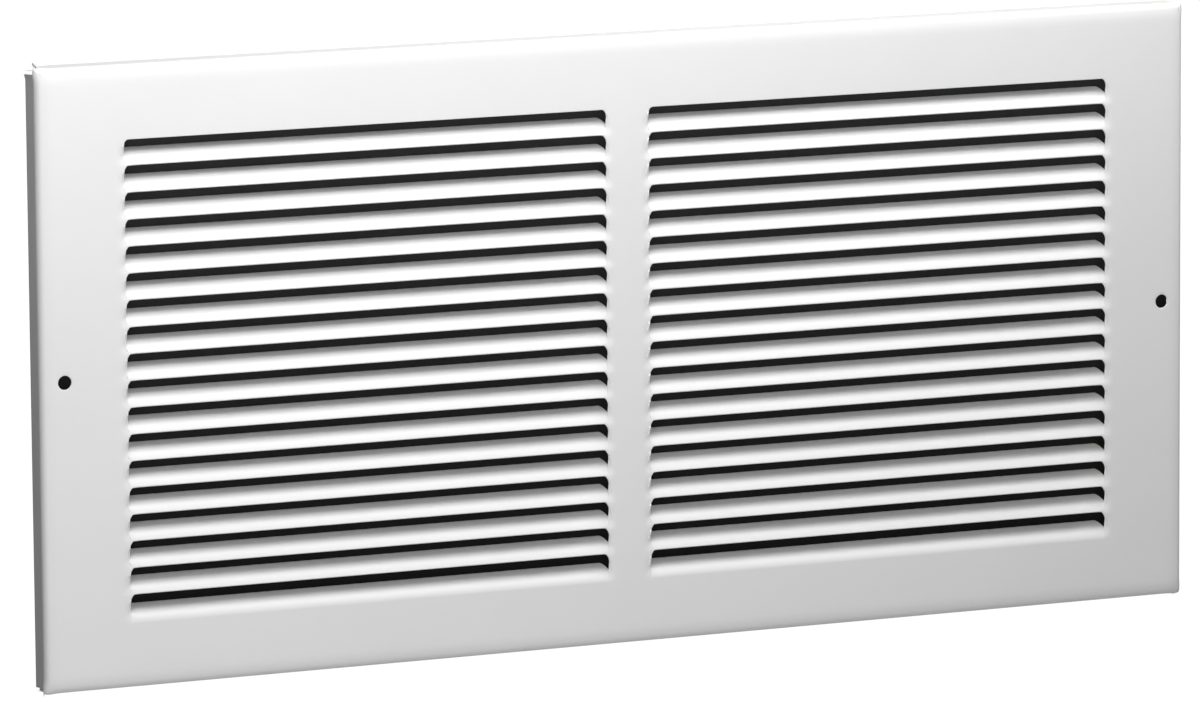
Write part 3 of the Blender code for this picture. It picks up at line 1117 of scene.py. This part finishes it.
@dataclass
class Studio:
    """Pale floor, soft light, and a dark card behind the louvres that is painted shade for the wall's
    dark inside.

    The floor and the surround look white but light the grille dimly. The card is painted darker
    towards its foot, painted shade where less light reaches in between the louvres.
    """

    floor_drop: float = 0.45
    floor_size: float = 60.0
    card_inset: float = 1.2 * MM
    card_overlap: float = 12.0 * MM
    card_y: float = -0.1 * MM
    painted_shade_fade: float = 80.0 * MM
    painted_shade_tones: tuple[float, float] = (0.018, 0.055)
    paper_tone: float = 0.6
    white_glow: float = 1.05
    ambient: float = 0.01
    lamps: tuple[SoftBox, ...] = (
        SoftBox("overhead", (-0.023, -0.167, 0.367), (-0.135, 0.471, -0.408), 0.823, 0.201, 2.16),
        SoftBox("front_fill", (-0.254, -0.745, -0.13), (0.0, 0.0, 0.0), 0.99, 0.99, 3.8),
        SoftBox("high_fill", (-0.15, -0.7, 0.7), (0.0, 0.0, 0.0), 0.8, 0.5, 0.85),
        SoftBox("ceiling", (-0.05, -0.068, 0.521), (0.204, 0.194, 0.121), 0.474, 0.553, 0.5),
        SoftBox("side_strip", (1.0, 0.02, 0.75), (0.0, 0.0, 0.0), 0.8, 0.06, 4.4),
        SoftBox("rear_fill", (0.0, 1.5, -0.05), (0.0, 0.0, 0.0), 0.6, 0.3, 4.5),
    )

    def white_surround(self) -> bpy.types.World:
        """Makes a world that looks white and lights the grille evenly and dimly."""
        world = bpy.data.worlds.new("white_surround")
        world.use_nodes = True
        tree = world.node_tree
        tree.nodes.clear()
        seen = add_node(tree, "ShaderNodeLightPath", {}, {}).outputs["Is Camera Ray"]
        strength = add_node(
            tree,
            "ShaderNodeMapRange",
            {"To Min": self.ambient, "To Max": self.white_glow},
            {"Value": seen},
        )
        shade = add_node(
            tree,
            "ShaderNodeBackground",
            {"Color": (1.0, 1.0, 1.0, 1.0)},
            {"Strength": strength.outputs["Result"]},
        )
        add_node(tree, "ShaderNodeOutputWorld", {}, {"Surface": shade.outputs["Background"]})
        return world

    def white_floor(self) -> bpy.types.Material:
        """Makes the seamless white paper of the floor."""
        material, tree = new_material("seamless_white_paper")
        seen = add_node(tree, "ShaderNodeLightPath", {}, {}).outputs["Is Camera Ray"]
        grey = (self.paper_tone, self.paper_tone, self.paper_tone, 1.0)
        paper = add_node(tree, "ShaderNodeBsdfDiffuse", {"Color": grey}, {}).outputs["BSDF"]
        glow = add_node(
            tree, "ShaderNodeEmission", {"Strength": self.white_glow}, {}
        ).outputs["Emission"]
        shown = add_node(tree, "ShaderNodeMixShader", {}, {"Fac": seen, 1: paper, 2: glow})
        add_node(tree, "ShaderNodeOutputMaterial", {}, {"Surface": shown.outputs["Shader"]})
        return material

    def painted_shade_material(self) -> bpy.types.Material:
        """Makes the card's matt black front, painted shade; its back lets the view through."""
        material, tree = new_material("painted_shade_matt_black_card")
        rear = add_node(tree, "ShaderNodeNewGeometry", {}, {}).outputs["Backfacing"]
        place = add_node(tree, "ShaderNodeTexCoord", {}, {}).outputs["Object"]
        parts = add_node(tree, "ShaderNodeSeparateXYZ", {}, {"Vector": place})
        # painted shade: the card's tone runs darker towards its foot
        fade = add_node(
            tree,
            "ShaderNodeMapRange",
            {
                "From Min": -self.painted_shade_fade,
                "From Max": self.painted_shade_fade,
                "To Min": self.painted_shade_tones[0],
                "To Max": self.painted_shade_tones[1],
            },
            {"Value": parts.outputs["Z"]},
        )
        black = add_node(
            tree, "ShaderNodeBsdfDiffuse", {}, {"Color": fade.outputs["Result"]}
        ).outputs["BSDF"]
        clear = add_node(tree, "ShaderNodeBsdfTransparent", {}, {}).outputs["BSDF"]
        shown = add_node(tree, "ShaderNodeMixShader", {}, {"Fac": rear, 1: black, 2: clear})
        add_node(tree, "ShaderNodeOutputMaterial", {}, {"Surface": shown.outputs["Shader"]})
        return material

    def build(self, plate: Faceplate) -> None:
        """Makes the floor, the card of painted shade and the lights.

        Args:
            plate: The faceplate that the card lies behind.
        """
        bpy.context.scene.world = self.white_surround()
        bm = bmesh.new()
        bmesh.ops.create_grid(bm, x_segments=1, y_segments=1, size=self.floor_size / 2)
        bmesh.ops.translate(bm, vec=(0.0, 0.0, plate.low.z - self.floor_drop), verts=bm.verts)
        add_object("floor", bm, self.white_floor())
        bm = bmesh.new()
        turn = Matrix.Rotation(pi / 2, 4, "X")
        bmesh.ops.create_grid(bm, x_segments=1, y_segments=1, size=1.0, matrix=turn)
        wide = plate.half_width - self.card_inset
        tall = plate.first_cut + self.card_overlap
        bmesh.ops.scale(bm, vec=(wide, 1.0, tall), verts=bm.verts)
        bmesh.ops.translate(bm, vec=(0.0, self.card_y, 0.0), verts=bm.verts)
        # painted shade: the dark card stands for the shade inside the wall behind the louvres
        card = add_object("painted_shade_behind_louvres", bm, self.painted_shade_material())
        card.visible_shadow = False
        for lamp in self.lamps:
            lamp.build()
        bpy.context.scene.view_settings.view_transform = "Standard"
        LOG.info("studio: %d lamps", len(self.lamps))


@dataclass(frozen=True)
class Viewpoint:
    """A long lens to the left of the grille's middle and a little above it."""

    azimuth: float = radians(-23.819)
    elevation: float = radians(8.8428)
    roll: float = radians(-0.4193)
    distance: float = 2.6798
    target: tuple[float, float, float] = (-0.00951, -0.008, -0.00475)
    lens: float = 251.32
    sensor: float = 36.0

    def build(self) -> bpy.types.Object:
        """Makes the scene's camera."""
        data = bpy.data.cameras.new("long_lens")
        data.lens = self.lens
        data.sensor_width = self.sensor
        data.clip_start = 0.1
        data.clip_end = 100.0
        camera = bpy.data.objects.new("long_lens", data)
        level = cos(self.elevation)
        back = Vector((sin(self.azimuth) * level, -cos(self.azimuth) * level, sin(self.elevation)))
        right = Vector((0.0, 0.0, 1.0)).cross(back).normalized()
        up = back.cross(right)
        across = cos(self.roll) * right + sin(self.roll) * up
        upward = cos(self.roll) * up - sin(self.roll) * right
        turn = Matrix((across, upward, back)).transposed()
        place = Vector(self.target) + back * self.distance
        camera.matrix_world = Matrix.Translation(place) @ turn.to_4x4()
        bpy.context.scene.collection.objects.link(camera)
        bpy.context.scene.camera = camera
        return camera


def main() -> None:
    """Builds the grille and its studio in order."""
    logging.basicConfig(level=logging.INFO, format="%(name)s: %(message)s")
    low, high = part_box("faceplate")
    plate = Faceplate(low, high)
    plate.build(PowderCoat().make())
    screws = [MountingScrew(side) for side in Side]
    paint = ScrewPaint().make(screws[0].paint_line)
    for screw in screws:
        screw.build(paint)
    tape = MaskingTape().make()
    for side in Side:
        ScrewTape(side).build(tape)
    Studio().build(plate)
    Viewpoint().build()


if __name__ == "__main__":
    main()
